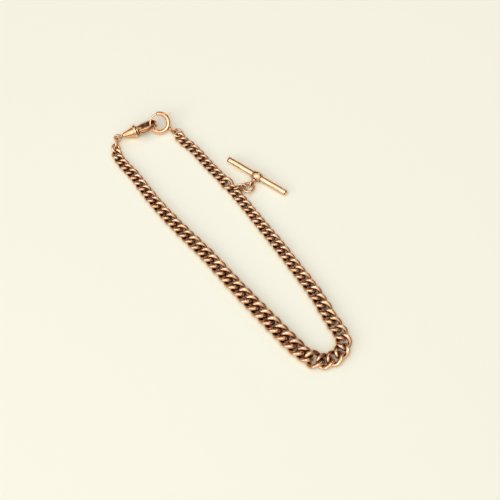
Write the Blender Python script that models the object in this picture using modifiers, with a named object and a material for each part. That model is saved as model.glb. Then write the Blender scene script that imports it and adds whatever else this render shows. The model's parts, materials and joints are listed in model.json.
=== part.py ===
"""Pocket watch chain: graduated curb links between a swivel dog clip and a bolt ring, with a T-bar drop.

Everything is laid out in millimetres times MM, with +X from the clasps towards the fold and +Z up.
Each moving body hangs on an empty, pivot_BODY, that stands on its joint with local Z along the axis.
"""

import math

import bmesh
import bpy
from mathutils import Matrix, Vector

MM = 0.001
FRAME_SHIFT = Vector((9.739, -4.697, -0.016)) * MM  # brings the middle of the whole chain's box to the origin

# Curb links, counted from the dog clip's end
LINK_COUNT = 72
LINKS_PER_BODY = 2
BODIES_PER_GROUP = 4
FOLD_BODY = 17
LARGEST_LINK = 31
SMALL_PITCH = 3.4
LARGE_PITCH = 5.0
TAPER_TO_CLIP = 1.0
TAPER_TO_BAR = 1.3
NARROW_WIDTH, BROAD_WIDTH = 1.5, 1.65  # width for each unit of pitch, at the smallest and the largest pitch
THIN_WIRE, THICK_WIRE = 0.39, 0.44  # and the wire's thickness
PLAY_PER_PITCH = 0.06
END_TWIST = math.radians(-55)
CONNECTOR_LINK = 60
CONNECTOR_STRETCH = 1.35
LINK_POINTS = 10
FOLD_LINKS = range(33, 40)
FOLD_WIRE = 0.9  # the links round the fold are this much thinner, which leaves them room to turn
BEAD_PER_WIRE = 0.47

# Middle line of the chain on the table, in millimetres
ROUTE = (
    (-82.2, -19.5), (-79, -20.7), (-75, -20.9), (-71, -20.7), (-65.5, -20.3), (-60.2, -20.6), (-49.5, -21), (-39, -20.8),
    (-28.7, -20.1), (-18.6, -19.1), (-8.6, -18.2), (1.3, -17.8), (11.1, -17.4), (20.9, -16.8),
    (30.4, -16.1), (40, -15.4), (45.1, -15.1), (50.1, -14.7), (55.1, -13.8), (60.1, -12.9), (64.2, -10), (66.9, -5.9),
    (67, -1.1), (65.5, 3.3), (61.4, 5.8), (56.9, 6.6), (52.2, 6.8), (46, 8.1), (40, 9.1), (33, 9.9),
    (23.2, 10.5), (13.3, 11.2), (3.3, 11.7), (-6.9, 11.9), (-17.2, 12.4), (-27.6, 12.6), (-38.2, 12.4),
    (-48.5, 11.7), (-56, 11.6), (-61.5, 11.3), (-65.5, 10.3), (-68.2, 9.7), (-70.6, 10.2),
)  # fmt: skip

UP = Vector((0, 0, 1))

# Plain links of the fittings, in millimetres: centre, then azimuth, rise and roll in degrees, and then
# half length, half width and wire radius
PLAIN_LINKS = {
    "end_ring": ((-83.45, -18.6, 1.85), (-41, -2, -34), (2.1, 2.1, 0.45)),
    "end_oval": ((-85.75, -16.55, 1.97), (135, 0, 93), (2.55, 1.5, 0.45)),
    "swivel_eye": ((-87.9, -14.5, 2.0), (70, 9, 0), (1.7, 1.7, 0.45)),
    "end_jump_ring": ((-72.2, 10.15, 1.4), (15, -8, -24), (2.2, 2.2, 0.45)),
    "bolt_ring_eye": ((-74.35, 9.6, 1.8), (28, -18, 60), (1.15, 1.15, 0.4)),
    "drop_ring": ((-29.8, 14.95, 1.72), (62, 14, -49), (1.75, 1.75, 0.36)),
    "drop_oval": ((-28.2, 17.2, 2.05), (46, -10, 46), (2.13, 1.3, 0.38)),
    "bar_ring": ((-26.05, 19.35, 2.0), (47, 0, -11), (2.75, 2.75, 0.5)),
    "t_bar_eye": ((-27.0, 21.9, 1.7), (106, 6, 85), (1.25, 1.25, 0.4)),
}

# Dog clip: a swivel eye, a bell-shaped barrel, a strap bent into a hook, and a sprung gate
CLIP_ROLL = -31
STRAP_WIDTH = 2.6 * MM
STRAP_THICKNESS = 0.8 * MM
GATE_HINGE = (12.5, -1.7)

# Bolt ring: a hollow tube bent round, and a sprung bolt that slides in it. Angles run round the ring
RING_CENTRE = Vector((-80.65, 6.1, 4.6)) * MM
RING_AZIMUTH = 49.5
RING_LEAN = (32, 9)
RING_RADIUS = 4.5 * MM
TUBE_RADIUS = 1.1 * MM
BORE_RADIUS = 0.8 * MM
BOLT_RADIUS = 0.5 * MM
GAP_FROM, GAP_TO = 108, 225
BOLT_TIP, BOLT_END = 231, 38
BOLT_TRAVEL = 50

# T-bar, in millimetres
BAR_CENTRE = Vector((-28.3, 26.5, 2.27)) * MM
BAR_AZIMUTH = 19.3
BAR_RISE = -2.6
BAR_LENGTH = 33.9
BAR_RADIUS = 1.3


def clean_scene():
    for obj in list(bpy.data.objects):
        bpy.data.objects.remove(obj)


def new_collection(name):
    made = bpy.data.collections.new(name)
    bpy.context.scene.collection.children.link(made)
    return made


def gold(name, colour, roughness):
    made = bpy.data.materials.new(name)
    made.use_nodes = True
    shader = made.node_tree.nodes["Principled BSDF"]
    shader.inputs["Base Color"].default_value = (*colour, 1)
    shader.inputs["Metallic"].default_value = 1
    shader.inputs["Roughness"].default_value = roughness
    made.diffuse_color = (*colour, 1)
    return made


clean_scene()
chain = new_collection("pocket_watch_chain")
cutters = new_collection("cutters")
cutters.hide_render = True
LINK_GOLD = gold("link_gold", (0.78, 0.42, 0.25), 0.28)
CLASP_GOLD = gold("clasp_gold", (0.80, 0.45, 0.27), 0.24)
BAR_GOLD = gold("bar_gold", (0.83, 0.50, 0.28), 0.2)
SPRING_GOLD = gold("spring_gold", (0.62, 0.36, 0.22), 0.35)

frame = bpy.data.objects.new("pocket_watch_chain", None)
chain.objects.link(frame)
frame.location = FRAME_SHIFT
layout = {frame: Matrix()}  # each object's place before the whole is shifted


def attach(obj, matrix, parent):
    obj.parent = parent
    obj.matrix_local = layout[parent].inverted() @ matrix
    layout[obj] = matrix
    return obj


def pivot(body, point, axis, parent):
    """An empty on a joint of this body, its local Z along the joint's axis."""
    empty = bpy.data.objects.new("pivot_" + body, None)
    empty.empty_display_size = 2 * MM
    chain.objects.link(empty)
    turn = axis.to_track_quat("Z", "Y").to_matrix().to_4x4()
    return attach(empty, Matrix.Translation(point) @ turn, parent)


def axes_at(point, along, up):
    """A matrix at point with X along and Z as near to up as it can be."""
    x = along.normalized()
    y = up.cross(x).normalized()
    z = x.cross(y)
    turn = Matrix((x, y, z)).transposed().to_4x4()
    return Matrix.Translation(point) @ turn


def rolled(matrix, degrees):
    return matrix @ Matrix.Rotation(math.radians(degrees), 4, "X")


# Shapes, each in its own axes, in metres
def keep(mesh, name, material, collection=None):
    obj = bpy.data.objects.new(name, mesh)
    (collection or chain).objects.link(obj)
    mesh.materials.clear()
    mesh.materials.append(material)
    mesh.shade_smooth()
    mesh.set_sharp_from_angle(angle=math.radians(50))
    return obj


def wire(name, points, radius, material, closed=True, sides=6):
    """A round wire bent along points, as a mesh."""
    curve = bpy.data.curves.new(name, "CURVE")
    curve.dimensions = "3D"
    curve.bevel_depth = radius
    curve.bevel_resolution = sides // 2 - 2
    curve.use_fill_caps = not closed
    spline = curve.splines.new("POLY")
    spline.points.add(len(points) - 1)
    for place, point in zip(spline.points, points):
        place.co = (*point, 1)
    spline.use_cyclic_u = closed
    return meshed(curve, name, material)


def meshed(curve, name, material):
    guide = bpy.data.objects.new(name + "_guide", curve)
    bpy.context.scene.collection.objects.link(guide)
    bpy.context.view_layer.update()
    mesh = bpy.data.meshes.new_from_object(guide.evaluated_get(bpy.context.evaluated_depsgraph_get()))
    bpy.data.objects.remove(guide)
    weld(mesh)
    mesh.name = name
    return keep(mesh, name, material)


def weld(mesh):
    build = bmesh.new()
    build.from_mesh(mesh)
    bmesh.ops.remove_doubles(build, verts=build.verts, dist=1e-7)
    bmesh.ops.recalc_face_normals(build, faces=build.faces)
    build.to_mesh(mesh)
    build.free()


def arc(radius, first, last, count):
    """Points on a circle in XY, between two angles in degrees."""
    angles = [math.radians(first + (last - first) * n / (count - 1)) for n in range(count)]
    return [Vector((radius * math.cos(a), radius * math.sin(a), 0)) for a in angles]


def oval(half_length, half_width, count):
    turns = [math.tau * n / count for n in range(count)]
    return [Vector((half_length * math.cos(t), half_width * math.sin(t), 0)) for t in turns]


def turned(name, profile, material, steps=20):
    """A profile of (height, radius) pairs, in millimetres and from the top down, turned about X."""
    mesh = bpy.data.meshes.new(name)
    corners = [Vector((radius, 0, height)) * MM for height, radius in profile]
    hollow = profile[0][1] > 0
    edges = [(n, n + 1) for n in range(len(corners) - 1)]
    if hollow:
        edges.append((len(corners) - 1, 0))
    mesh.from_pydata(corners, edges, [])
    obj = keep(mesh, name, material)
    screw = obj.modifiers.new("turn", "SCREW")
    screw.steps = steps
    screw.render_steps = steps
    screw.use_merge_vertices = True
    screw.merge_threshold = 1e-7
    screw.use_smooth_shade = True
    return obj


ALONG_X = Matrix.Rotation(math.radians(90), 4, "Y")


def slab(name, outline, thickness, material):
    """A flat outline in XY, in metres, given its thickness along Z."""
    curve = bpy.data.curves.new(name, "CURVE")
    curve.dimensions = "2D"
    curve.fill_mode = "BOTH"
    curve.extrude = thickness / 2
    spline = curve.splines.new("POLY")
    spline.points.add(len(outline) - 1)
    for place, point in zip(spline.points, outline):
        place.co = (point[0], point[1], 0, 1)
    spline.use_cyclic_u = True
    return meshed(curve, name, material)


def strip_outline(path, thickness):
    """The outline of a strip of this thickness that follows path."""
    sides = ([], [])
    for n, point in enumerate(path):
        ahead = path[min(n + 1, len(path) - 1)] - path[max(n - 1, 0)]
        across = Vector((-ahead.y, ahead.x, 0)).normalized() * thickness / 2
        sides[0].append(point + across)
        sides[1].append(point - across)
    return sides[0] + sides[1][::-1]


def smooth_path(points, per_span):
    """Catmull-Rom points through a few points."""
    ends = [2 * points[0] - points[1], *points, 2 * points[-1] - points[-2]]
    path = []
    for a, b, c, d in zip(ends, ends[1:], ends[2:], ends[3:]):
        for n in range(per_span):
            t = n / per_span
            path.append(
                (2 * b + (c - a) * t + (2 * a - 5 * b + 4 * c - d) * t**2 + (3 * b - a - 3 * c + d) * t**3) / 2
            )
    return [*path, points[-1]]


def hidden(obj):
    obj.hide_render = True
    obj.display_type = "WIRE"
    chain.objects.unlink(obj)
    cutters.objects.link(obj)
    return obj


def combine(base, other, operation="UNION"):
    change = base.modifiers.new(operation.lower(), "BOOLEAN")
    change.operation = operation
    change.object = hidden(other)
    return base


def box(name, size, material):
    bpy.ops.mesh.primitive_cube_add(size=1)
    obj = bpy.context.object
    mesh = obj.data
    mesh.transform(Matrix.Diagonal((*size, 1)))
    bpy.data.objects.remove(obj)
    return keep(mesh, name, material)


def rod(name, radius, length, material, sides=12):
    """A cylinder along X, centred."""
    bpy.ops.mesh.primitive_cylinder_add(vertices=sides, radius=radius, depth=length)
    obj = bpy.context.object
    mesh = obj.data
    mesh.transform(ALONG_X)
    bpy.data.objects.remove(obj)
    return keep(mesh, name, material)


def ball(name, radius, material, rings=3):
    bpy.ops.mesh.primitive_uv_sphere_add(segments=2 * rings, ring_count=rings, radius=radius)
    obj = bpy.context.object
    mesh = obj.data
    bpy.data.objects.remove(obj)
    return keep(mesh, name, material)


# The chain
def pitch_of(link):
    """Each link's share of the chain's length, before it is fitted to the route."""
    if link > LARGEST_LINK:
        taper = TAPER_TO_BAR
        nearness = 1 - (link - LARGEST_LINK) / LARGEST_LINK
    else:
        taper = TAPER_TO_CLIP
        nearness = link / LARGEST_LINK
    pitch = SMALL_PITCH + (LARGE_PITCH - SMALL_PITCH) * max(nearness, 0) ** taper
    return pitch * (CONNECTOR_STRETCH if link == CONNECTOR_LINK else 1)


def joint_points():
    """The points on the route where one link holds the next, first and last ends included."""
    path = smooth_path([Vector((x, y, 0)) * MM for x, y in ROUTE], 12)
    lengths = [0]
    for a, b in zip(path, path[1:]):
        lengths.append(lengths[-1] + (b - a).length)
    fit = lengths[-1] / sum(pitch_of(n) for n in range(LINK_COUNT))
    points = []
    wanted = 0
    for link in range(LINK_COUNT + 1):
        span = next((n for n in range(1, len(lengths)) if lengths[n] >= wanted), len(lengths) - 1)
        share = (wanted - lengths[span - 1]) / (lengths[span] - lengths[span - 1])
        points.append(path[span - 1].lerp(path[span], share))
        if link < LINK_COUNT:
            wanted += pitch_of(link) * fit
    return points


def link_size(link, length):
    """Half length and half width of a link's middle line, and its wire's radius."""
    plain = length / (CONNECTOR_STRETCH if link == CONNECTOR_LINK else 1)
    grade = 1 if link == CONNECTOR_LINK else (plain / MM - SMALL_PITCH) / (LARGE_PITCH - SMALL_PITCH)
    thick = (THIN_WIRE + (THICK_WIRE - THIN_WIRE) * grade) * plain * (FOLD_WIRE if link in FOLD_LINKS else 1)
    width = (NARROW_WIDTH + (BROAD_WIDTH - NARROW_WIDTH) * grade) * plain
    half_length = (length + thick + PLAY_PER_PITCH * plain) / 2
    return half_length, (width - thick) / 2, thick / 2


def link_line(half_length, half_width):
    """An oval twisted about its long axis, so that each end meets its neighbour squarely."""
    line = []
    for n in range(LINK_POINTS):
        turn = math.tau * n / LINK_POINTS
        twist = END_TWIST * math.cos(turn)
        across = half_width * math.sin(turn)
        line.append(Vector((half_length * math.cos(turn), across * math.cos(twist), across * math.sin(twist))))
    return line


def curb_link(name, link, ends):
    """One link between two joint points, lying on the table. Gives the object, its matrix and its wire."""
    along = ends[1] - ends[0]
    half_length, half_width, radius = link_size(link, along.length)
    line = link_line(half_length, half_width)
    rest = max(point.z for point in line) + radius
    obj = wire(name, line, radius, LINK_GOLD)
    matrix = axes_at((ends[0] + ends[1]) / 2 + UP * rest, along, UP)
    return obj, matrix, radius


def body_name(body):
    first = body * LINKS_PER_BODY + 1
    return f"curb_links_{first:02d}_{first + 1:02d}"


def bend_axis(body, points):
    """The bodies bend in groups of four, counted from the fold. Groups bend up and sideways by turns, and
    the four axes of a group are parallel. The clip's end bends sideways, with the clip's own links."""
    group = (abs(body - FOLD_BODY) - 1) // BODIES_PER_GROUP
    if group % 2 == 1 or body == 0:
        return UP
    side = -1 if body < FOLD_BODY else 1
    first, last = (FOLD_BODY + side * (group * BODIES_PER_GROUP + n) for n in (1, BODIES_PER_GROUP))
    ends = [points[min(body * LINKS_PER_BODY, LINK_COUNT)] for body in (first, last)]
    return across(side * (ends[1] - ends[0]))


def across(along):
    """The level direction square to along."""
    return Vector((-along.y, along.x, 0)).normalized()


def build_chain():
    points = joint_points()
    bodies = {}
    order = sorted(range(LINK_COUNT // LINKS_PER_BODY), key=lambda body: abs(body - FOLD_BODY))
    for body in order:
        first = body * LINKS_PER_BODY
        name = body_name(body)
        a, a_matrix, a_radius = curb_link(name, first, points[first : first + 2])
        b, b_matrix, b_radius = curb_link(name + "_second", first + 1, points[first + 1 : first + 3])
        bead = ball(name + "_bead", BEAD_PER_WIRE * (a_radius + b_radius), LINK_GOLD)
        height = (a_matrix.translation.z + b_matrix.translation.z) / 2
        towards_fold = points[first if body > FOLD_BODY else first + 2]
        level = Vector((0, 0, height))
        if body == FOLD_BODY:
            parent = frame
        else:
            nearer = body_name(body - 1 if body > FOLD_BODY else body + 1)
            parent = bodies[nearer]
        along = points[first + 2] - points[first]
        axis = UP if body == FOLD_BODY else bend_axis(body, points)
        bodies[name] = pivot(name, towards_fold + level, axis, parent)
        attach(a, a_matrix, bodies[name])
        attach(b, b_matrix, bodies[name])
        attach(bead, axes_at(points[first + 1] + level, along, UP), bodies[name])
        combine(a, bead)
        combine(a, b)
    return points, bodies


def turn_matrix(point, azimuth, rise, roll):
    """X along azimuth and lifted by rise, then rolled about X, all in degrees."""
    turn = Matrix.Rotation(math.radians(azimuth), 4, "Z") @ Matrix.Rotation(math.radians(-rise), 4, "Y")
    return rolled(Matrix.Translation(point) @ turn, roll)


def line_of(points, per_span=3):
    return smooth_path([Vector((x, y, 0)) * MM for x, y in points], per_span)


def link_place(name):
    centre, angles, _ = PLAIN_LINKS[name]
    return turn_matrix(Vector(centre) * MM, *angles)


def plain_link(name, material, parent, sides=6):
    half_length, half_width, radius = (size * MM for size in PLAIN_LINKS[name][2])
    obj = wire(name, oval(half_length, half_width, 16), radius, material, True, sides)
    return attach(obj, link_place(name), parent)


def meeting(first, second):
    """Half way between the ends where two plain links hold each other."""
    pairs = []
    for a in (-1, 1):
        for b in (-1, 1):
            ends = [
                link_place(name) @ Vector((side * PLAIN_LINKS[name][2][0] * MM, 0, 0))
                for name, side in ((first, a), (second, b))
            ]
            pairs.append(((ends[0] - ends[1]).length, (ends[0] + ends[1]) / 2))
    return min(pairs, key=lambda pair: pair[0])[1]


def build_end_links(bodies, points):
    """The ring and the oval between the curb links and the dog clip's eye."""
    near = bodies[body_name(0)]
    hold = points[0] + Vector((0, 0, layout[near].translation.z))
    sideways = layout[near].to_3x3().col[2]
    bodies["end_ring"] = pivot("end_ring", hold, sideways, near)
    plain_link("end_ring", CLASP_GOLD, bodies["end_ring"])
    bodies["end_oval"] = pivot("end_oval", meeting("end_ring", "end_oval"), sideways, bodies["end_ring"])
    plain_link("end_oval", CLASP_GOLD, bodies["end_oval"])
    bodies["swivel_eye"] = pivot("swivel_eye", meeting("end_oval", "swivel_eye"), sideways, bodies["end_oval"])


def build_clip(bodies):
    place = link_place("swivel_eye")
    eye = plain_link("swivel_eye", CLASP_GOLD, bodies["swivel_eye"])
    stem = turned(
        "stem",
        [(5.9, 0), (5.9, 0.85), (5.1, 0.85), (5.1, 0.35), (2.9, 0.35), (2.7, 0.9), (2.1, 0.9), (1.9, 0.45),
         (1.5, 0.45), (1.5, 0)],
        CLASP_GOLD, 12,
    )  # fmt: skip
    attach(stem, place @ ALONG_X, bodies["swivel_eye"])
    combine(eye, stem)

    bodies["clip"] = pivot("clip", place.translation, -place.col[0].to_3d(), bodies["swivel_eye"])
    barrel = turned(
        "clip_barrel",
        [(10, 1.6), (10, 2.9), (9.9, 3.05), (9, 3.05), (8.8, 2.6), (7.6, 2.05), (6, 1.65), (4.6, 1.5), (3.2, 1.25),
         (3.2, 0.65), (4.7, 0.65), (4.7, 1.15), (6.6, 1.2), (8.2, 1.6)],
        CLASP_GOLD, 24,
    )  # fmt: skip
    attach(barrel, place @ ALONG_X, bodies["clip"])

    loop = rolled(place, CLIP_ROLL)
    far_arm = [(11, 1.3), (12.4, 2.3), (14.4, 2.85), (16.8, 2.85), (18.9, 2.2), (20.2, 0.9), (20.3, -0.4), (19.7, -1.2)]
    hook = slab("clip_hook", strip_outline(line_of(far_arm), STRAP_THICKNESS), STRAP_WIDTH, CLASP_GOLD)
    attach(hook, loop, bodies["clip"])
    base = rod("hook_base", 2.5 * MM, 0.9 * MM, CLASP_GOLD, 20)
    attach(base, loop @ Matrix.Translation((10.75 * MM, 0, 0)), bodies["clip"])
    combine(hook, base)
    hinge_place = Vector((GATE_HINGE[0], GATE_HINGE[1], 0)) * MM
    for side in (-1, 1):
        cheek = box("cheek", (2.6 * MM, 1.7 * MM, 0.5 * MM), CLASP_GOLD)
        offset = Vector((-0.45 * MM, 0.1 * MM, side * 1.5 * MM))
        attach(cheek, loop @ Matrix.Translation(hinge_place + offset), bodies["clip"])
        combine(hook, cheek)
    drill = rod("pin_hole", 0.6 * MM, 6 * MM, CLASP_GOLD)
    pin_turn = Matrix.Translation(hinge_place) @ Matrix.Rotation(math.radians(90), 4, "Y")
    attach(drill, loop @ pin_turn, bodies["clip"])
    combine(hook, drill, "DIFFERENCE")
    pin = rod("gate_pin", 0.3 * MM, 3.7 * MM, CLASP_GOLD)
    attach(pin, loop @ pin_turn, bodies["clip"])

    bodies["gate"] = pivot("gate", loop @ hinge_place, loop.col[2].to_3d(), bodies["clip"])
    near_arm = [(14.1, -2.75), (15.3, -2.85), (16.9, -2.6), (18.9, -1.7)]
    gate = slab("clip_gate", strip_outline(line_of(near_arm), STRAP_THICKNESS), STRAP_WIDTH, CLASP_GOLD)
    attach(gate, loop, bodies["gate"])
    tongue = [GATE_HINGE, (13.3, -2.45), (14.6, -2.8)]
    tongue = slab("tongue", strip_outline(line_of(tongue), STRAP_THICKNESS * 0.9), 1.7 * MM, CLASP_GOLD)
    attach(tongue, loop, bodies["gate"])
    combine(gate, tongue)
    knuckle = rod("knuckle", 0.95 * MM, 1.9 * MM, CLASP_GOLD, 16)
    attach(knuckle, loop @ pin_turn, bodies["gate"])
    combine(gate, knuckle)
    bore = rod("knuckle_bore", 0.6 * MM, 4 * MM, CLASP_GOLD)
    attach(bore, loop @ pin_turn, bodies["gate"])
    combine(gate, bore, "DIFFERENCE")

    leaf = slab("gate_spring", strip_outline(line_of([(11.6, 0.9), (13.4, -0.6), (15.2, -1.85)]), 0.25 * MM),
                1.2 * MM, SPRING_GOLD)  # fmt: skip
    attach(leaf, loop, bodies["clip"])


def ring_matrix():
    lean = Matrix.Rotation(math.radians(RING_LEAN[0]), 4, "X") @ Matrix.Rotation(math.radians(RING_LEAN[1]), 4, "Y")
    return turn_matrix(RING_CENTRE, RING_AZIMUTH, 0, 0) @ lean


def build_bolt_ring(bodies, points):
    place = ring_matrix()
    last = bodies[body_name(LINK_COUNT // LINKS_PER_BODY - 1)]
    hold = points[-1] + Vector((0, 0, layout[last].translation.z))
    sideways = layout[last].to_3x3().col[2]
    bodies["end_jump_ring"] = pivot("end_jump_ring", hold, sideways, last)
    plain_link("end_jump_ring", CLASP_GOLD, bodies["end_jump_ring"])

    hold = meeting("end_jump_ring", "bolt_ring_eye")
    bodies["bolt_ring"] = pivot("bolt_ring", hold, sideways, bodies["end_jump_ring"])
    tube = wire("bolt_ring_tube", arc(RING_RADIUS, GAP_TO, GAP_FROM + 360, 28), TUBE_RADIUS, CLASP_GOLD, False, 12)
    attach(tube, place, bodies["bolt_ring"])
    bore = wire(
        "bolt_bore", arc(RING_RADIUS, BOLT_END - BOLT_TRAVEL - 26, GAP_FROM + 4, 22), BORE_RADIUS, CLASP_GOLD, False, 8
    )
    attach(bore, place, bodies["bolt_ring"])
    combine(tube, bore, "DIFFERENCE")
    socket = wire("bolt_socket", arc(RING_RADIUS, GAP_TO - 4, BOLT_TIP + 5, 4), BORE_RADIUS, CLASP_GOLD, False, 8)
    attach(socket, place, bodies["bolt_ring"])
    combine(tube, socket, "DIFFERENCE")
    slot_middle = RING_RADIUS + TUBE_RADIUS
    slot = strip_outline(arc(slot_middle, BOLT_END - BOLT_TRAVEL - 4, BOLT_END + 12, 12), 2.2 * MM)
    slot = slab("trigger_slot", slot, 1.2 * MM, CLASP_GOLD)
    attach(slot, place, bodies["bolt_ring"])
    combine(tube, slot, "DIFFERENCE")

    eye = plain_link("bolt_ring_eye", CLASP_GOLD, bodies["bolt_ring"])
    eye_turn = link_place("bolt_ring_eye")
    to_ring = RING_CENTRE - eye_turn.translation
    neck_top = to_ring.length / MM - (RING_RADIUS + TUBE_RADIUS) / MM - 0.12
    neck = turned("neck", [(neck_top, 0), (neck_top, 0.8), (1.5, 0.5), (1.1, 0.5), (1.1, 0)], CLASP_GOLD, 12)
    attach(neck, axes_at(eye_turn.translation, to_ring, UP) @ ALONG_X, bodies["bolt_ring"])
    combine(eye, neck)

    bodies["bolt"] = pivot("bolt", RING_CENTRE, place.col[2].to_3d(), bodies["bolt_ring"])
    bolt = wire("bolt", arc(RING_RADIUS, BOLT_END, BOLT_TIP, 20), BOLT_RADIUS, CLASP_GOLD, False, 8)
    attach(bolt, place, bodies["bolt"])
    trigger_turn = place @ Matrix.Rotation(math.radians(BOLT_END + 4), 4, "Z")
    trigger = rod("trigger", 0.3 * MM, 2.9 * MM, CLASP_GOLD, 8)
    attach(trigger, trigger_turn @ Matrix.Translation((RING_RADIUS + 1.45 * MM, 0, 0)), bodies["bolt"])
    combine(bolt, trigger)
    spring = wire(
        "bolt_spring", arc(RING_RADIUS, BOLT_END - BOLT_TRAVEL - 22, BOLT_END - 4, 14), 0.35 * MM, SPRING_GOLD, False
    )
    attach(spring, place, bodies["bolt_ring"])


def build_drop(bodies, points):
    ends = points[CONNECTOR_LINK : CONNECTOR_LINK + 2]
    along = (ends[1] - ends[0]).normalized()
    host = bodies[body_name(CONNECTOR_LINK // LINKS_PER_BODY)]
    half_width = link_size(CONNECTOR_LINK, (ends[1] - ends[0]).length)[1]
    side_wire = (ends[0] + ends[1]) / 2 - across(along) * half_width
    side_wire.z = layout[host].translation.z
    bodies["drop_ring"] = pivot("drop_ring", side_wire, along, host)
    plain_link("drop_ring", BAR_GOLD, bodies["drop_ring"])
    sideways = across(link_place("bar_ring").translation - side_wire)
    for name, held_by in (("drop_oval", "drop_ring"), ("bar_ring", "drop_oval")):
        bodies[name] = pivot(name, meeting(held_by, name), sideways, bodies[held_by])
        plain_link(name, BAR_GOLD, bodies[name])
    build_bar(bodies)


def build_bar(bodies):
    eye_place = link_place("t_bar_eye")
    towards_bar = BAR_CENTRE - eye_place.translation
    hold = meeting("bar_ring", "t_bar_eye")
    bodies["t_bar"] = pivot("t_bar", hold, across(towards_bar), bodies["bar_ring"])
    place = turn_matrix(BAR_CENTRE, BAR_AZIMUTH, BAR_RISE, 0)

    half = BAR_LENGTH / 2
    tube = turned(
        "t_bar_tube",
        [(half - 0.8, 0), (half - 0.8, 1.2), (half - 1, BAR_RADIUS), (1 - half, BAR_RADIUS), (0.8 - half, 1.2),
         (0.8 - half, 0)],
        BAR_GOLD, 20,
    )  # fmt: skip
    attach(tube, place @ ALONG_X, bodies["t_bar"])
    for name, side in (("t_bar_cap_left", -1), ("t_bar_cap_right", 1)):
        cap = turned(name, [(0.5, 0), (0.5, 0.7), (0.35, 1.2), (0, 1.35), (0, 0)], BAR_GOLD, 20)
        turn = place if side > 0 else place @ Matrix.Rotation(math.pi, 4, "Z")
        attach(cap, turn @ Matrix.Translation(((half - 0.5) * MM, 0, 0)) @ ALONG_X, bodies["t_bar"])

    collar = turned(
        "t_bar_collar",
        [(2.2, 1.6), (2.2, 1.85), (2.0, 2.0), (1.8, 1.85), (1.2, 2.1), (0, 2.25), (-1.2, 2.1), (-1.8, 1.85),
         (-2.0, 2.0), (-2.2, 1.85), (-2.2, 1.6)],
        BAR_GOLD, 20,
    )  # fmt: skip
    attach(collar, place @ ALONG_X, bodies["t_bar"])
    eye = plain_link("t_bar_eye", BAR_GOLD, bodies["t_bar"])
    combine(collar, eye)
    reach = towards_bar.length / MM
    stem = turned(
        "stem",
        [(reach - 1.85, 0), (reach - 1.85, 0.6), (reach - 2.4, 0.75), (2.2, 0.85), (1.9, 1.1), (1.5, 1.1),
         (1.2, 0.7), (1.2, 0)],
        BAR_GOLD, 14,
    )  # fmt: skip
    attach(stem, axes_at(eye_place.translation, towards_bar, UP) @ ALONG_X, bodies["t_bar"])
    combine(collar, stem)


points, bodies = build_chain()
build_end_links(bodies, points)
build_clip(bodies)
build_bolt_ring(bodies, points)
build_drop(bodies, points)
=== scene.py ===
"""Looks of the pocket watch chain: 72 separate curb links, both clasps, the drop and the T-bar, in rose gold.

The fittings' sizes and places are part.py's, in millimetres in its own layout axes. The frame's swivel joint
says where that layout lies, and the frame's joints say where the links hold each other.
"""
import json
import math

import bmesh
import bpy
from mathutils import Matrix, Vector, noise


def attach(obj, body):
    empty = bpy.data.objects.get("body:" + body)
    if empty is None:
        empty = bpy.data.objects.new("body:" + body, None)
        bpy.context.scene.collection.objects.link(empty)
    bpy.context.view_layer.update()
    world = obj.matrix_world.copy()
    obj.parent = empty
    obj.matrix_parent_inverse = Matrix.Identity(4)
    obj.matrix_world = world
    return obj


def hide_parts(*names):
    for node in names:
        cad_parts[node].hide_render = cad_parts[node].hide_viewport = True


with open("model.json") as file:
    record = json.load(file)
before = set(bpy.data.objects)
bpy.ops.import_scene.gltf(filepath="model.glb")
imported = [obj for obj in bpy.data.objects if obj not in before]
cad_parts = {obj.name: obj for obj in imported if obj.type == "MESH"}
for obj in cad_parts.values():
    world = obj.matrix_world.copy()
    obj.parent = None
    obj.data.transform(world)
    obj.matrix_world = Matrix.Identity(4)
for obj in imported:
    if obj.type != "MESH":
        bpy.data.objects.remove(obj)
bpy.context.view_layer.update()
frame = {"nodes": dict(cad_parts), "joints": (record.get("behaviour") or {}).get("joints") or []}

MM = 0.001
UP = Vector((0, 0, 1))
SHARP_ANGLE = math.radians(35)
LINK_SIDES = 18
CORNER_STEPS = 3
RING_STEPS, RING_FLATNESS = 48, 0.06
JOINTS = {joint["name"]: joint for joint in frame["joints"]}
BODY_JOINT = {joint["child"]: joint for joint in frame["joints"]}

# Plain links of the fittings, in millimetres: centre, then azimuth, rise and roll in degrees, and then
# half length, half width and wire radius
PLAIN_LINKS = {
    "end_ring": ((-83.45, -18.6, 1.85), (-41, -2, -34), (1.95, 1.95, 0.58)),
    "end_oval": ((-85.75, -16.55, 1.97), (135, 0, 93), (2.5, 1.45, 0.56)),
    "swivel_eye": ((-87.9, -14.5, 2.0), (70, 9, 0), (1.45, 1.45, 0.52)),
    "end_jump_ring": ((-71.85, 10.75, 1.7), (15, -6, -12), (2.15, 2.15, 0.48)),
    "bolt_ring_eye": ((-74.2, 9.7, 1.8), (28, -18, 60), (1.1, 1.1, 0.5)),
    "drop_ring": ((-29.8, 14.95, 1.72), (62, 14, -49), (1.75, 1.75, 0.48)),
    "drop_oval": ((-28.2, 17.2, 2.05), (46, -10, 46), (2.13, 1.35, 0.52)),
    "bar_ring": ((-26.05, 19.35, 2.0), (47, 0, -11), (2.72, 2.72, 0.62)),
    "t_bar_eye": ((-27.0, 21.9, 1.7), (106, 6, 85), (1.2, 1.2, 0.52)),
}
LAYOUT_ORIGIN = Vector(JOINTS["clip_swivel"]["pos_m"]) - Vector(PLAIN_LINKS["swivel_eye"][0]) * MM

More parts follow.
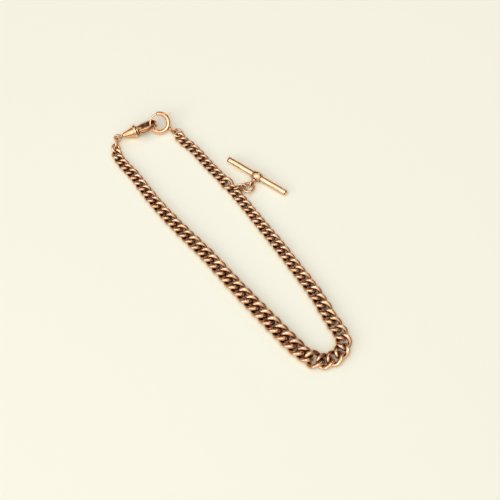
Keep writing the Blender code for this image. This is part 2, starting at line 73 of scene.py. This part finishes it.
# Curb links: a link's wire, width and play for each millimetre between the points where it is held
LINK_COUNT = 72
LINKS_PER_BODY = 2
FOLD_BODY = 17
CONNECTOR_LINK = 60
CONNECTOR_STRETCH = 1.35
FOLD_LINKS = range(33, 40)
FOLD_WIRE = 0.9
SMALL_PITCH, LARGE_PITCH = 3.4, 5.0
NARROW_WIDTH, BROAD_WIDTH = 1.5, 1.65
THIN_WIRE, THICK_WIRE = 0.39, 0.44
PLAY_PER_PITCH = 0.06
END_TWIST = math.radians(-55)

# Dog clip
CLIP_ROLL = -31
STRAP_WIDTH = 2.7
STRAP_THICKNESS = 0.8
GATE_HINGE = (12.5, -1.7)

# Bolt ring, angles in degrees round it
RING_CENTRE = (-80.65, 6.1, 4.6)
RING_AZIMUTH = 49.5
RING_LEAN = (32, 9)
RING_RADIUS = 4.5
TUBE_RADIUS = 1.1
BORE_RADIUS = 0.8
BOLT_RADIUS = 0.5
GAP_FROM, GAP_TO = 108, 225
BOLT_TIP, BOLT_END = 231, 38
BOLT_TRAVEL = 50

# T-bar
BAR_CENTRE = (-28.3, 26.5, 2.27)
BAR_AZIMUTH = 19.3
BAR_RISE = -2.6
BAR_LENGTH = 33.9
BAR_RADIUS = 1.38

# Camera: a long lens that looks down at the table
CAMERA_AZIMUTH = 52
CAMERA_ELEVATION = 65
CAMERA_DISTANCE = 0.56
LENS_MM = 85
SENSOR_MM = 36
CLIP_START = 0.01


# Light tent: how far it leans to the near side, and its colours from its dark side to its top
TENT_LEAN = 0.6
TENT_NEAR = (-0.5, -0.87)
TENT_DARK = (0.13, 0.06, 0.035)
TENT_BANDS = ((0.16, (0.1, 0.05, 0.03)), (0.5, (0.5, 0.475, 0.435)), (0.72, (1.15, 1.1, 1.01)))
TENT_TOP = (1.32, 1.28, 1.19)

# Floor: pale, with painted light from an ambient occlusion mask: a warm painted glow near the gold, standing in for
# the colour the gold throws back, and a brown painted shade where the gold nearly covers it
FLOOR_HALF_SIDE = 1.5
FLOOR_GAP = 0.00003
FLOOR_PAINTED_LIGHT_REACH = 0.004
FLOOR_COLOUR = (0.87, 0.885, 0.805, 1)
FLOOR_PAINTED_BOUNCE = (0.97, 0.96, 0.8, 1)
FLOOR_PAINTED_SHADE = (0.36, 0.14, 0.05, 1)


def placed(point):
    """A point of the layout, in millimetres, in the frame's metres."""
    return LAYOUT_ORIGIN + Vector(point) * MM


# Stage
def camera_axes():
    azimuth, elevation = math.radians(CAMERA_AZIMUTH), math.radians(CAMERA_ELEVATION)
    right = Vector((math.cos(azimuth), math.sin(azimuth), 0))
    level = math.cos(elevation)
    ahead = Vector((-math.sin(azimuth) * level, math.cos(azimuth) * level, -math.sin(elevation)))
    return right, right.cross(ahead), ahead


def add_camera():
    right, up, ahead = camera_axes()
    data = bpy.data.cameras.new("camera")
    data.lens = LENS_MM
    data.sensor_width = SENSOR_MM
    data.clip_start = CLIP_START
    camera = bpy.data.objects.new("camera", data)
    bpy.context.scene.collection.objects.link(camera)
    turn = Matrix((right, up, -ahead)).transposed().to_4x4()
    camera.matrix_world = Matrix.Translation(LAYOUT_ORIGIN - ahead * CAMERA_DISTANCE) @ turn
    bpy.context.scene.camera = camera


def add_softbox(name, aside, height, beyond, size, power):
    """A square light that faces the chain: metres to the camera's right, up, and away from the camera."""
    right, _, ahead = camera_axes()
    level = Vector((ahead.x, ahead.y, 0)).normalized()
    data = bpy.data.lights.new(name, "AREA")
    data.shape = "SQUARE"
    data.size = size
    data.energy = power
    light = bpy.data.objects.new(name, data)
    bpy.context.scene.collection.objects.link(light)
    place = LAYOUT_ORIGIN + right * aside + UP * height + level * beyond
    turn = (place - LAYOUT_ORIGIN).to_track_quat("Z", "Y").to_matrix().to_4x4()
    light.matrix_world = Matrix.Translation(place) @ turn


def add_world():
    """A light tent: bright overhead and on the near side, and dark beyond, which draws the dark lines on the metal."""
    world = bpy.data.worlds.new("studio")
    world.use_nodes = True
    nodes, links = world.node_tree.nodes, world.node_tree.links
    right, _, ahead = camera_axes()
    level = Vector((ahead.x, ahead.y, 0)).normalized()
    near = TENT_NEAR[0] * right + TENT_NEAR[1] * level
    height = nodes.new("ShaderNodeVectorMath")
    height.operation = "DOT_PRODUCT"
    height.inputs[1].default_value = (UP + TENT_LEAN * near).normalized()
    links.new(nodes.new("ShaderNodeTexCoord").outputs["Generated"], height.inputs[0])
    ramp = nodes.new("ShaderNodeValToRGB")
    links.new(height.outputs["Value"], ramp.inputs["Fac"])
    ramp.color_ramp.elements[0].color = (*TENT_DARK, 1)
    ramp.color_ramp.elements[1].color = (*TENT_TOP, 1)
    for position, colour in TENT_BANDS:
        ramp.color_ramp.elements.new(position).color = (*colour, 1)
    links.new(ramp.outputs["Color"], nodes["Background"].inputs["Color"])
    bpy.context.scene.world = world
    bpy.context.scene.view_settings.view_transform = "Standard"


def add_floor():
    mesh = bpy.data.meshes.new("floor")
    build = bmesh.new()
    bmesh.ops.create_grid(build, x_segments=8, y_segments=8, size=FLOOR_HALF_SIDE)
    build.to_mesh(mesh)
    build.free()
    floor = bpy.data.objects.new("floor", mesh)
    bpy.context.scene.collection.objects.link(floor)
    floor.location = (0, 0, -FLOOR_GAP)
    made = Nodes("pale_board_painted_light")
    # Painted light: near the gold the floor's colour is painted brighter and warmer, in place of bounced light, and
    # painted dark brown as shade where the gold nearly covers it
    nearness = made.add("ShaderNodeAmbientOcclusion", {"Distance": FLOOR_PAINTED_LIGHT_REACH}, samples=8).outputs["AO"]
    painted_bounce = made.mix(made.span(nearness, 0.55, 1, 0, 1), FLOOR_PAINTED_BOUNCE, FLOOR_COLOUR)
    painted_bounce_and_shade = made.mix(made.span(nearness, 0.05, 0.36, 0, 1), FLOOR_PAINTED_SHADE, painted_bounce)
    made.feed(painted_bounce_and_shade, made.shader.inputs["Base Color"])
    made.shader.inputs["Roughness"].default_value = 0.8
    made.shader.inputs["Specular IOR Level"].default_value = 0.1
    mesh.materials.append(made.material)


# Materials
class Nodes:
    """Short calls for building a material's nodes."""

    def __init__(self, name):
        self.material = bpy.data.materials.new(name)
        self.material.use_nodes = True
        self.tree = self.material.node_tree
        self.shader = self.tree.nodes["Principled BSDF"]

    def add(self, kind, inputs=None, **settings):
        node = self.tree.nodes.new(kind)
        for key, value in settings.items():
            setattr(node, key, value)
        for key, value in (inputs or {}).items():
            self.feed(value, node.inputs[key])
        return node

    def feed(self, value, socket):
        if isinstance(value, bpy.types.NodeSocket):
            self.tree.links.new(value, socket)
        else:
            socket.default_value = value

    def noise(self, coordinates, scale, detail=3.0, roughness=0.5):
        inputs = {"Vector": coordinates, "Scale": scale, "Detail": detail, "Roughness": roughness}
        return self.add("ShaderNodeTexNoise", inputs).outputs["Fac"]

    def span(self, value, low, high, to_low, to_high):
        inputs = {"Value": value, "From Min": low, "From Max": high, "To Min": to_low, "To Max": to_high}
        return self.add("ShaderNodeMapRange", inputs).outputs["Result"]

    def mix(self, share, first, second):
        node = self.add("ShaderNodeMix", data_type="RGBA")
        self.feed(share, node.inputs["Factor"])
        self.feed(first, node.inputs[6])
        self.feed(second, node.inputs[7])
        return node.outputs[2]

    def maths(self, operation, first, second):
        node = self.add("ShaderNodeMath", operation=operation)
        self.feed(first, node.inputs[0])
        self.feed(second, node.inputs[1])
        return node.outputs[0]


EDGE_TINT = (1, 0.78, 0.6)


def gold(name, colour, worn, tarnish_and_shade, roughness, tarnish_and_shade_reach):
    """Polished rose gold: paler where it is rubbed, brown in hollows and where parts crowd each other, as tarnish and
    as painted shade, with fine scratches.
    """
    made = Nodes(name)
    where = made.add("ShaderNodeTexCoord").outputs["Object"]
    blotches = made.noise(where, 260, 4)
    grain = made.noise(where, 2200, 3, 0.6)
    stretched = made.add("ShaderNodeMapping", {"Vector": where, "Rotation": (0.4, 0.2, 0.9), "Scale": (1, 14, 9)})
    scratches = made.noise(stretched.outputs["Vector"], 900, 2, 0.7)

    tone = made.mix(made.span(blotches, 0.35, 0.7, 0, 1), (*colour, 1), (*worn, 1))
    # Tarnish and painted shade: an ambient occlusion mask darkens the colour to brown in hollows and where parts or
    # the floor are close
    shade = made.add("ShaderNodeAmbientOcclusion", {"Distance": tarnish_and_shade_reach}, samples=8).outputs["AO"]
    patchy = made.maths("ADD", shade, made.span(blotches, 0.3, 0.7, -0.1, 0.1))
    tarnish_and_shade_mask = made.span(patchy, 0.45, 0.88, 1, 0)
    made.feed(made.mix(tarnish_and_shade_mask, tone, (*tarnish_and_shade, 1)), made.shader.inputs["Base Color"])

    rough = made.span(scratches, 0.35, 0.75, roughness * 0.75, roughness * 1.35)
    rough = made.maths("ADD", rough, made.span(tarnish_and_shade_mask, 0, 1, 0, 0.25))
    made.feed(rough, made.shader.inputs["Roughness"])
    made.shader.inputs["Metallic"].default_value = 1
    made.shader.inputs["Specular Tint"].default_value = (*EDGE_TINT, 1)

    height = made.maths("ADD", made.maths("MULTIPLY", scratches, 0.6), grain)
    bump = made.add("ShaderNodeBump", {"Height": height, "Strength": 0.06, "Distance": 0.00002})
    made.feed(bump.outputs["Normal"], made.shader.inputs["Normal"])
    return made.material


# Each gold: its plain and worn colours, its colour of tarnish and painted shade, its roughness, and how far in metres
# the tarnish and painted shade reach
CLASP_TONES = ((0.82, 0.46, 0.26), (0.95, 0.61, 0.37))
LINK_GOLD = gold("link_gold", (0.70, 0.41, 0.25), (0.85, 0.55, 0.36), (0.065, 0.013, 0.003), 0.22, 0.0017)
CLASP_GOLD = gold("clasp_gold", *CLASP_TONES, (0.07, 0.016, 0.005), 0.15, 0.0013)
HOOK_GOLD = gold("hook_gold", *CLASP_TONES, (0.06, 0.013, 0.004), 0.15, 0.009)
BAR_GOLD = gold("bar_gold", (0.82, 0.5, 0.32), (0.92, 0.61, 0.40), (0.16, 0.045, 0.015), 0.2, 0.0016)
SPRING_GOLD = gold("spring_gold", (0.66, 0.42, 0.28), (0.76, 0.52, 0.36), (0.14, 0.05, 0.02), 0.34, 0.001)


# Mesh building. Shapes are in millimetres in their own axes, and a matrix places them
def turn_matrix(point, azimuth, rise, roll):
    """X along azimuth and lifted by rise, then rolled about X, all in degrees."""
    turn = Matrix.Rotation(math.radians(azimuth), 4, "Z") @ Matrix.Rotation(math.radians(-rise), 4, "Y")
    return Matrix.Translation(placed(point)) @ turn @ Matrix.Rotation(math.radians(roll), 4, "X")


def axes_at(point, along, up):
    """A matrix at a point in the frame with X along and Z as near to up as it can be."""
    x = along.normalized()
    y = up.cross(x).normalized()
    return Matrix.Translation(point) @ Matrix((x, y, x.cross(y))).transposed().to_4x4()


def link_place(name):
    centre, angles, _ = PLAIN_LINKS[name]
    return turn_matrix(centre, *angles)


class Shape:
    """A mesh that grows by surfaces, each placed by a matrix."""

    def __init__(self):
        self.build = bmesh.new()

    def skin(self, rings, matrix, closed=False, caps=True):
        """Joins rings of points, in millimetres, into a surface."""
        rows = [[self.build.verts.new(matrix @ (point * MM)) for point in ring] for ring in rings]
        pairs = list(zip(rows, rows[1:] + rows[:1])) if closed else list(zip(rows, rows[1:]))
        for first, second in pairs:
            count = len(first)
            for n in range(count):
                m = (n + 1) % count
                self.build.faces.new((first[n], first[m], second[m], second[n]))
        if not closed and caps:
            self.build.faces.new(rows[0][::-1])
            self.build.faces.new(rows[-1])
        return self

    def piece(self, name, body, nodes, slot, material):
        bmesh.ops.recalc_face_normals(self.build, faces=self.build.faces)
        mesh = bpy.data.meshes.new(name)
        self.build.to_mesh(mesh)
        self.build.free()
        mesh.materials.append(material)
        mesh.shade_smooth()
        mesh.set_sharp_from_angle(angle=SHARP_ANGLE)
        obj = bpy.data.objects.new(name, mesh)
        bpy.context.scene.collection.objects.link(obj)
        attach(obj, body)
        if nodes:
            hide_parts(*nodes)
        return obj


def round_section(radius, sides, flatness=0.0):
    """A wire's section. Flatness squares it off a little, as polishing and wear do."""
    section = []
    for n in range(sides):
        angle = math.tau * n / sides
        squeeze = 1 - flatness * math.cos(2 * angle) ** 2 * 0.5
        section.append((radius * math.cos(angle) * squeeze, radius * math.sin(angle) * squeeze))
    return section


def filed_section(radius, filed):
    """A wire's section, broadened and filed flat above and below where filed is 1, and round where it is 0."""
    section = []
    for n in range(LINK_SIDES):
        across, up = math.cos(math.tau * n / LINK_SIDES), math.sin(math.tau * n / LINK_SIDES)
        section.append((radius * across * (1 + 0.06 * filed), radius * up * (1 - 0.18 * filed * abs(up) ** 3)))
    return section


def box_section(width, thickness, rounding, steps=4):
    """A rounded rectangle: thickness along the first direction and width along the second."""
    section = []
    corners = ((1, 1, 0), (-1, 1, 90), (-1, -1, 180), (1, -1, 270))
    for x_side, y_side, start in corners:
        for n in range(steps + 1):
            angle = math.radians(start + 90 * n / steps)
            section.append((
                x_side * (thickness / 2 - rounding) + rounding * math.cos(angle),
                y_side * (width / 2 - rounding) + rounding * math.sin(angle),
            ))
    return section


def loop_rings(line, section_at):
    """Rings of a closed wire: each section's first direction points away from the loop's middle."""
    middle = sum(line, Vector()) / len(line)
    rings = []
    for n, point in enumerate(line):
        ahead = (line[(n + 1) % len(line)] - line[n - 1]).normalized()
        out = point - middle
        out = (out - ahead * out.dot(ahead)).normalized()
        side = ahead.cross(out)
        rings.append([point + out * u + side * v for u, v in section_at(n)])
    return rings


def path_rings(line, section_at):
    """Rings of an open strip or wire whose second direction keeps to Z."""
    rings = []
    for n, point in enumerate(line):
        ahead = (line[min(n + 1, len(line) - 1)] - line[max(n - 1, 0)]).normalized()
        across = UP.cross(ahead).normalized()
        level = ahead.cross(across)
        rings.append([point + across * u + level * v for u, v in section_at(n)])
    return rings


def lathe_rings(profile, steps):
    """Rings about X from (height, radius) pairs."""
    rings = []
    for height, radius in profile:
        angles = [math.tau * n / steps for n in range(steps)]
        rings.append([Vector((height, radius * math.cos(a), radius * math.sin(a))) for a in angles])
    return rings


def softened(profile, reach=0.12):
    """The profile with its corners rounded."""
    points = [Vector(pair) for pair in profile]
    soft = [points[0]]
    for before, corner, after in zip(points, points[1:], points[2:]):
        first = corner + (before - corner).normalized() * min(reach, (before - corner).length / 2.2)
        last = corner + (after - corner).normalized() * min(reach, (after - corner).length / 2.2)
        for n in range(CORNER_STEPS + 1):
            t = n / CORNER_STEPS
            soft.append(first * (1 - t) ** 2 + corner * 2 * t * (1 - t) + last * t**2)
    soft.append(points[-1])
    return [tuple(point) for point in soft]


def smooth_path(points, per_span):
    """Catmull-Rom points through a few points."""
    points = [Vector((*point, 0)) if len(point) == 2 else Vector(point) for point in points]
    ends = [2 * points[0] - points[1], *points, 2 * points[-1] - points[-2]]
    path = []
    for a, b, c, d in zip(ends, ends[1:], ends[2:], ends[3:]):
        for n in range(per_span):
            t = n / per_span
            path.append(
                (2 * b + (c - a) * t + (2 * a - 5 * b + 4 * c - d) * t**2 + (3 * b - a - 3 * c + d) * t**3) / 2
            )
    return [*path, points[-1]]


def arc(radius, first, last, count):
    angles = [math.radians(first + (last - first) * n / (count - 1)) for n in range(count)]
    return [Vector((radius * math.cos(a), radius * math.sin(a), 0)) for a in angles]


def oval(half_length, half_width, count):
    turns = [math.tau * n / count for n in range(count)]
    return [Vector((half_length * math.cos(t), half_width * math.sin(t), 0)) for t in turns]


# Curb links
def body_name(body):
    first = body * LINKS_PER_BODY + 1
    return f"curb_links_{first:02d}_{first + 1:02d}"


def chain_points():
    """Where the links hold each other: the hinges from the frame, and the points half way through each body."""
    hinges = []
    for body in range(LINK_COUNT // LINKS_PER_BODY + 1):
        if body == 0:
            owner = "end_ring"
        elif body <= FOLD_BODY:
            owner = body_name(body - 1)
        elif body < LINK_COUNT // LINKS_PER_BODY:
            owner = body_name(body)
        else:
            owner = "end_jump_ring"
        place = Vector(BODY_JOINT[owner]["pos_m"])
        place.z = 0
        hinges.append(place)
    points = []
    for body, (first, second) in enumerate(zip(hinges, hinges[1:])):
        mesh = frame["nodes"][body_name(body)].data
        weights = [polygon.area for polygon in mesh.polygons]
        middle = sum((p.center * w for p, w in zip(mesh.polygons, weights)), Vector()) / sum(weights)
        middle = middle * 2 - (first + second) / 2
        middle.z = 0
        points += [first, middle]
    return [*points, hinges[-1]]


def link_size(link, length):
    """Half length and half width of a link's middle line, and its wire's radius, in millimetres."""
    plain = length / (CONNECTOR_STRETCH if link == CONNECTOR_LINK else 1)
    grade = 1 if link == CONNECTOR_LINK else (plain - SMALL_PITCH) / (LARGE_PITCH - SMALL_PITCH)
    thick = (THIN_WIRE + (THICK_WIRE - THIN_WIRE) * grade) * plain * (FOLD_WIRE if link in FOLD_LINKS else 1)
    width = (NARROW_WIDTH + (BROAD_WIDTH - NARROW_WIDTH) * grade) * plain
    half_length = (length + thick + PLAY_PER_PITCH * plain) / 2
    return half_length, (width - thick) / 2, thick / 2


def curb_line(half_length, half_width, count):
    """An oval twisted about its long axis, so that each end meets its neighbour squarely."""
    line = []
    for n in range(count):
        turn = math.tau * n / count
        twist = END_TWIST * math.cos(turn)
        across = half_width * math.sin(turn)
        line.append(Vector((half_length * math.cos(turn), across * math.cos(twist), across * math.sin(twist))))
    return line


def build_link(link, ends):
    along = ends[1] - ends[0]
    half_length, half_width, radius = link_size(link, along.length / MM)
    line = curb_line(half_length, half_width, 40)
    rest = max(point.z for point in line) + radius
    place = axes_at((ends[0] + ends[1]) / 2 + UP * rest * MM, along, UP)

    def section_at(n):
        sideness = math.sin(math.tau * n / len(line)) ** 2
        wear = 1 + 0.02 * noise.noise(Vector((link * 3.1, n * 0.35, 0)))
        return filed_section(radius * wear, sideness)

    shape = Shape().skin(loop_rings(line, section_at), place, closed=True)
    body = body_name(link // LINKS_PER_BODY)
    shape.piece(f"curb_link_{link + 1:02d}", body, [body], "link_gold", LINK_GOLD)


def build_chain():
    points = chain_points()
    for link in range(LINK_COUNT):
        build_link(link, points[link : link + 2])


# Fittings
def plain_link(shape, name, sides=16):
    half_length, half_width, radius = PLAIN_LINKS[name][2]
    line = oval(half_length, half_width, RING_STEPS)
    section = round_section(radius, sides, RING_FLATNESS)
    return shape.skin(loop_rings(line, lambda n: section), link_place(name), closed=True)


def build_plain_links():
    for name, slot, material in (
        ("end_ring", "clasp_gold", CLASP_GOLD),
        ("end_oval", "clasp_gold", CLASP_GOLD),
        ("end_jump_ring", "clasp_gold", CLASP_GOLD),
        ("drop_ring", "bar_gold", BAR_GOLD),
        ("drop_oval", "bar_gold", BAR_GOLD),
        ("bar_ring", "bar_gold", BAR_GOLD),
    ):
        plain_link(Shape(), name).piece(name + "_wire", name, [name], slot, material)


def build_clip():
    place = link_place("swivel_eye")
    eye = plain_link(Shape(), "swivel_eye")
    stem = [(1.45, 0), (1.45, 0.45), (1.9, 0.45), (2.0, 0.75), (2.25, 0.92), (2.55, 0.92), (2.8, 0.75), (2.9, 0.35),
            (5.1, 0.35), (5.1, 0.8), (5.3, 0.85), (5.75, 0.85), (5.9, 0.7), (5.9, 0)]  # fmt: skip
    eye.skin(lathe_rings(softened(stem, 0.06), 28), place, caps=False)
    eye.piece("swivel_eye_and_stem", "swivel_eye", ["swivel_eye"], "clasp_gold", CLASP_GOLD)

    barrel = [(8.2, 1.75), (6.6, 1.3), (4.75, 1.15), (4.7, 0.65), (3.25, 0.65), (3.2, 1.2), (3.35, 1.42), (3.6, 1.36),
              (4.2, 1.48), (5.2, 1.74), (6.3, 2.02), (7.3, 2.3), (8.1, 2.6), (8.6, 2.82), (8.75, 2.96), (8.85, 3.2),
              (9.05, 3.34), (9.7, 3.34), (9.92, 3.22), (10.02, 3.0), (10.02, 1.9), (9.7, 1.75)]  # fmt: skip
    shape = Shape().skin(lathe_rings(softened(barrel, 0.1), 48), place, closed=True)
    shape.piece("bell_barrel", "clip", ["clip_barrel"], "clasp_gold", CLASP_GOLD)

    loop = place @ Matrix.Rotation(math.radians(CLIP_ROLL), 4, "X")
    far_arm = [(10.9, 1.4), (12.4, 2.4), (14.4, 2.95), (16.8, 2.95),
               (18.9, 2.25), (20.2, 0.95), (20.3, -0.4), (19.7, -1.25)]  # fmt: skip
    line = smooth_path(far_arm, 6)
    hook = Shape().skin(path_rings(line, lambda n: strap_section(n / (len(line) - 1), 0.86, 0.8)), loop)
    base = [(10.1, 0), (10.1, 2.1), (10.2, 2.25), (10.9, 2.2), (11.1, 1.9), (11.1, 0)]
    hook.skin(lathe_rings(softened(base, 0.12), 36), loop, caps=False)
    for side in (-1, 1):
        cheek = [Vector((x, y, 0)) for x, y in ((11.0, -1.1), (11.6, -1.45), (12.4, -1.65), (13.2, -1.95))]
        rings = path_rings(cheek, lambda n: box_section(0.5, 1.7 - 0.22 * n, 0.2))
        hook.skin(rings, loop @ Matrix.Translation((0, 0, side * 1.5 * MM)))
    hook.piece("strap_hook", "clip", ["clip_hook"], "clasp_gold", HOOK_GOLD)

    pin_place = loop @ Matrix.Translation(Vector((*GATE_HINGE, 0)) * MM) @ Matrix.Rotation(math.radians(90), 4, "Y")
    pin = [(-1.86, 0), (-1.86, 0.22), (-1.8, 0.3), (1.8, 0.3), (1.86, 0.22), (1.86, 0)]
    shape = Shape().skin(lathe_rings(pin, 20), pin_place, caps=False)
    shape.piece("riveted_pin", "clip", ["gate_pin"], "clasp_gold", CLASP_GOLD)

    near_arm = [(11.7, -2.15), (12.4, -2.5), (13.6, -2.74), (14.8, -2.88),
                (15.9, -2.88), (17.2, -2.6), (18.3, -2.1), (18.95, -1.76)]  # fmt: skip
    line = smooth_path(near_arm, 8)
    gate = Shape().skin(path_rings(line, lambda n: strap_section(n / (len(line) - 1), 0.9, 0.84)), loop)
    tongue = smooth_path([(12.9, -2.2), (13.4, -2.5), (14.4, -2.78)], 5)
    gate.skin(path_rings(tongue, lambda n: box_section(1.7, 0.7, 0.2)), loop)
    knuckle = [(-0.95, 0.6), (-0.95, 0.88), (-0.88, 0.95), (0.88, 0.95), (0.95, 0.88), (0.95, 0.6)]
    gate.skin(lathe_rings(knuckle, 28), pin_place, closed=True)
    gate.piece("sprung_gate", "gate", ["clip_gate"], "clasp_gold", CLASP_GOLD)

    leaf = smooth_path([(11.6, 0.9), (13.4, -0.6), (15.2, -1.85)], 8)
    shape = Shape().skin(path_rings(leaf, lambda n: box_section(1.2, 0.22, 0.08, 2)), loop)
    shape.piece("leaf_spring", "clip", ["gate_spring"], "spring_gold", SPRING_GOLD)


def strap_section(share, first, last):
    """The strap's section, narrowing a little towards each end."""
    end = min(share, 1 - share)
    narrow = first if share < 0.5 else last
    width = STRAP_WIDTH * (narrow + (1 - narrow) * min(end / 0.3, 1) ** 0.6)
    return box_section(width, STRAP_THICKNESS, 0.28)


def ring_matrix():
    lean = Matrix.Rotation(math.radians(RING_LEAN[0]), 4, "X") @ Matrix.Rotation(math.radians(RING_LEAN[1]), 4, "Y")
    return turn_matrix(RING_CENTRE, RING_AZIMUTH, 0, 0) @ lean


def build_bolt_ring():
    place = ring_matrix()
    build_tube(place)
    eye = plain_link(Shape(), "bolt_ring_eye", 18)
    eye_centre = link_place("bolt_ring_eye").translation
    to_ring = placed(RING_CENTRE) - eye_centre
    top = to_ring.length / MM - RING_RADIUS - TUBE_RADIUS
    neck = [(top + 0.02, 0), (top + 0.02, 0.6), (top - 0.15, 0.66), (top - 0.45, 0.86),
            (top - 0.8, 0.8), (1.15, 0.55), (1, 0.3), (1, 0)]  # fmt: skip
    eye.skin(lathe_rings(softened(neck, 0.08), 24), axes_at(eye_centre, to_ring, UP), caps=False)
    eye.piece("ring_eye_and_neck", "bolt_ring", ["bolt_ring_eye"], "clasp_gold", CLASP_GOLD)

    count = 72
    line = arc(RING_RADIUS, BOLT_END, BOLT_TIP, count)

    def bolt_section(n):
        from_end = min(n, count - 1 - n)
        return round_section(BOLT_RADIUS * min(1, 0.6 + 0.2 * from_end), 18)

    bolt = Shape().skin(path_rings(line, bolt_section), place)
    trigger = [(0, 0), (0, 0.3), (2.35, 0.3), (2.5, 0.42), (2.75, 0.42), (2.9, 0.3), (2.9, 0)]
    turn = place @ Matrix.Rotation(math.radians(BOLT_END + 4), 4, "Z") @ Matrix.Translation((RING_RADIUS * MM, 0, 0))
    bolt.skin(lathe_rings(softened(trigger, 0.08), 18), turn, caps=False)
    bolt.piece("sliding_bolt", "bolt", ["bolt"], "clasp_gold", CLASP_GOLD)

    first, last, coils, steps = BOLT_END - BOLT_TRAVEL - 22, BOLT_END - 4, 26, 14
    line = []
    for n in range(coils * steps + 1):
        share = n / (coils * steps)
        angle = math.radians(first + (last - first) * share)
        coil = math.tau * n / steps
        reach = RING_RADIUS + 0.65 * math.cos(coil)
        line.append(Vector((reach * math.cos(angle), reach * math.sin(angle), 0.65 * math.sin(coil))))
    spring = Shape().skin(path_rings(line, lambda n: round_section(0.08, 6)), place)
    spring.piece("coil_spring", "bolt_ring", ["bolt_spring"], "spring_gold", SPRING_GOLD)


def build_tube(place):
    """The tube with its bored ends and the slot that the trigger slides in."""
    first, last, count, sides = GAP_TO, GAP_FROM + 360, 122, 40
    slot_first, slot_last = BOLT_END - BOLT_TRAVEL - 3, BOLT_END + 9
    line = arc(RING_RADIUS, first, last, count)
    angles = [first + (last - first) * n / (count - 1) for n in range(count)]
    build = Shape()
    skins = []
    for radius in (TUBE_RADIUS, BORE_RADIUS):
        rings = path_rings(line, lambda n: round_section(radius, sides))
        skins.append([[build.build.verts.new(place @ (point * MM)) for point in ring] for ring in rings])
    outward = sides // 2  # the section's first direction points to the ring's middle
    in_slot = [slot_first <= angle - 360 <= slot_last for angle in angles]

    def open_at(n, side):
        near = min((side - outward) % sides, (outward - side - 1) % sides)
        return in_slot[n] and in_slot[n + 1] and near < 3

    faces = build.build.faces
    for n in range(count - 1):
        for side in range(sides):
            nxt = (side + 1) % sides
            if open_at(n, side):
                continue
            for rows in skins:
                faces.new((rows[n][side], rows[n][nxt], rows[n + 1][nxt], rows[n + 1][side]))
    outer, inner = skins
    walls = {}
    for row_out, row_in in zip(outer, inner):
        for a, b in zip(row_out, row_in):
            walls[a] = b
    open_edges = [edge for edge in build.build.edges if edge.is_boundary]
    rims = [edge for edge in open_edges if edge.verts[0] in walls and edge.verts[1] in walls]
    for edge in rims:
        a, b = edge.verts
        faces.new((a, b, walls[b], walls[a]))
    build.piece("bolt_ring_shell", "bolt_ring", ["bolt_ring_tube"], "clasp_gold", CLASP_GOLD)


def panel_rings(middle, length, facing, spread):
    """A plain raised panel on the rod: its middle along X, and the angles it faces and spans round the rod."""
    rings = []
    for x, rim in ((-0.5, -0.05), (-0.49, 0.05), (0.49, 0.05), (0.5, -0.05)):
        ring = []
        for angle, height in ((-0.5, -0.05), (-0.48, rim), (-0.2, rim), (0.2, rim), (0.48, rim), (0.5, -0.05)):
            turn = math.radians(facing + spread * angle)
            reach = BAR_RADIUS + height
            ring.append(Vector((middle + x * length, reach * math.cos(turn), reach * math.sin(turn))))
        rings.append(ring)
    return rings


def build_t_bar():
    place = turn_matrix(BAR_CENTRE, BAR_AZIMUTH, BAR_RISE, 0)
    half = BAR_LENGTH / 2
    end = half - 0.8
    tube = [(-end, 0), (-end, 1.32), (0.08 - end, BAR_RADIUS), (2.2 - end, BAR_RADIUS), (-2.4, BAR_RADIUS),
            (2.4, BAR_RADIUS), (end - 2.2, BAR_RADIUS), (end - 0.08, BAR_RADIUS), (end, 1.32), (end, 0)]  # fmt: skip
    shape = Shape().skin(lathe_rings(softened(tube, 0.08), 48), place, caps=False)
    for middle in (-half + 5.5, half - 5.5):
        shape.skin(panel_rings(middle, 4.2, 150, 34), place)
    shape.piece("bar_rod", "t_bar", ["t_bar_tube"], "bar_gold", BAR_GOLD)
    for side, name in ((-1, "left"), (1, "right")):
        cap = [(-0.02, 0), (-0.02, 1.3), (0.06, 1.35), (0.2, 1.3), (0.36, 1.15), (0.46, 0.9), (0.5, 0.7), (0.5, 0)]
        outward = Matrix.Rotation(0 if side > 0 else math.pi, 4, "Z")
        turn = place @ outward @ Matrix.Translation(((half - 0.5) * MM, 0, 0))
        shape = Shape().skin(lathe_rings(softened(cap, 0.05), 48), turn, caps=False)
        shape.piece(f"bar_end_{name}", "t_bar", [f"t_bar_cap_{name}"], "bar_gold", BAR_GOLD)

    collar = [(2.2, 1.32), (2.2, 1.8), (2.1, 1.97), (2.0, 2.02), (1.88, 1.95), (1.8, 1.82), (1.6, 1.9), (1.2, 2.08),
              (0.6, 2.22), (0, 2.26), (-0.6, 2.22), (-1.2, 2.08), (-1.6, 1.9), (-1.8, 1.82), (-1.88, 1.95),
              (-2.0, 2.02), (-2.1, 1.97), (-2.2, 1.8), (-2.2, 1.32)]  # fmt: skip
    shape = Shape().skin(lathe_rings(collar, 48), place, closed=True)
    plain_link(shape, "t_bar_eye", 18)
    eye_centre = link_place("t_bar_eye").translation
    towards_bar = placed(BAR_CENTRE) - eye_centre
    reach = towards_bar.length / MM
    stem = [(1.2, 0), (1.2, 0.7), (1.45, 1.0), (1.7, 1.14), (1.95, 1.0), (2.1, 0.82), (2.25, 0.95), (2.45, 0.95),
            (2.6, 0.78), (reach - 2.2, 0.72), (reach - 1.9, 0.6), (reach - 1.9, 0)]  # fmt: skip
    shape.skin(lathe_rings(softened(stem, 0.06), 28), axes_at(eye_centre, towards_bar, UP), caps=False)
    shape.piece("bar_collar_and_eye", "t_bar", ["t_bar_collar"], "bar_gold", BAR_GOLD)


add_camera()
add_world()
add_softbox("softbox_over", -0.15, 1.0, -0.35, 0.5, 2.3)
add_softbox("softbox_back", 0.5, 0.7, 0.7, 0.4, 0.9)
add_softbox("softbox_left", -0.75, 0.45, -0.5, 0.4, 1.3)
add_floor()
build_chain()
build_plain_links()
build_clip()
build_bolt_ring()
build_t_bar()

bpy.context.view_layer.update()
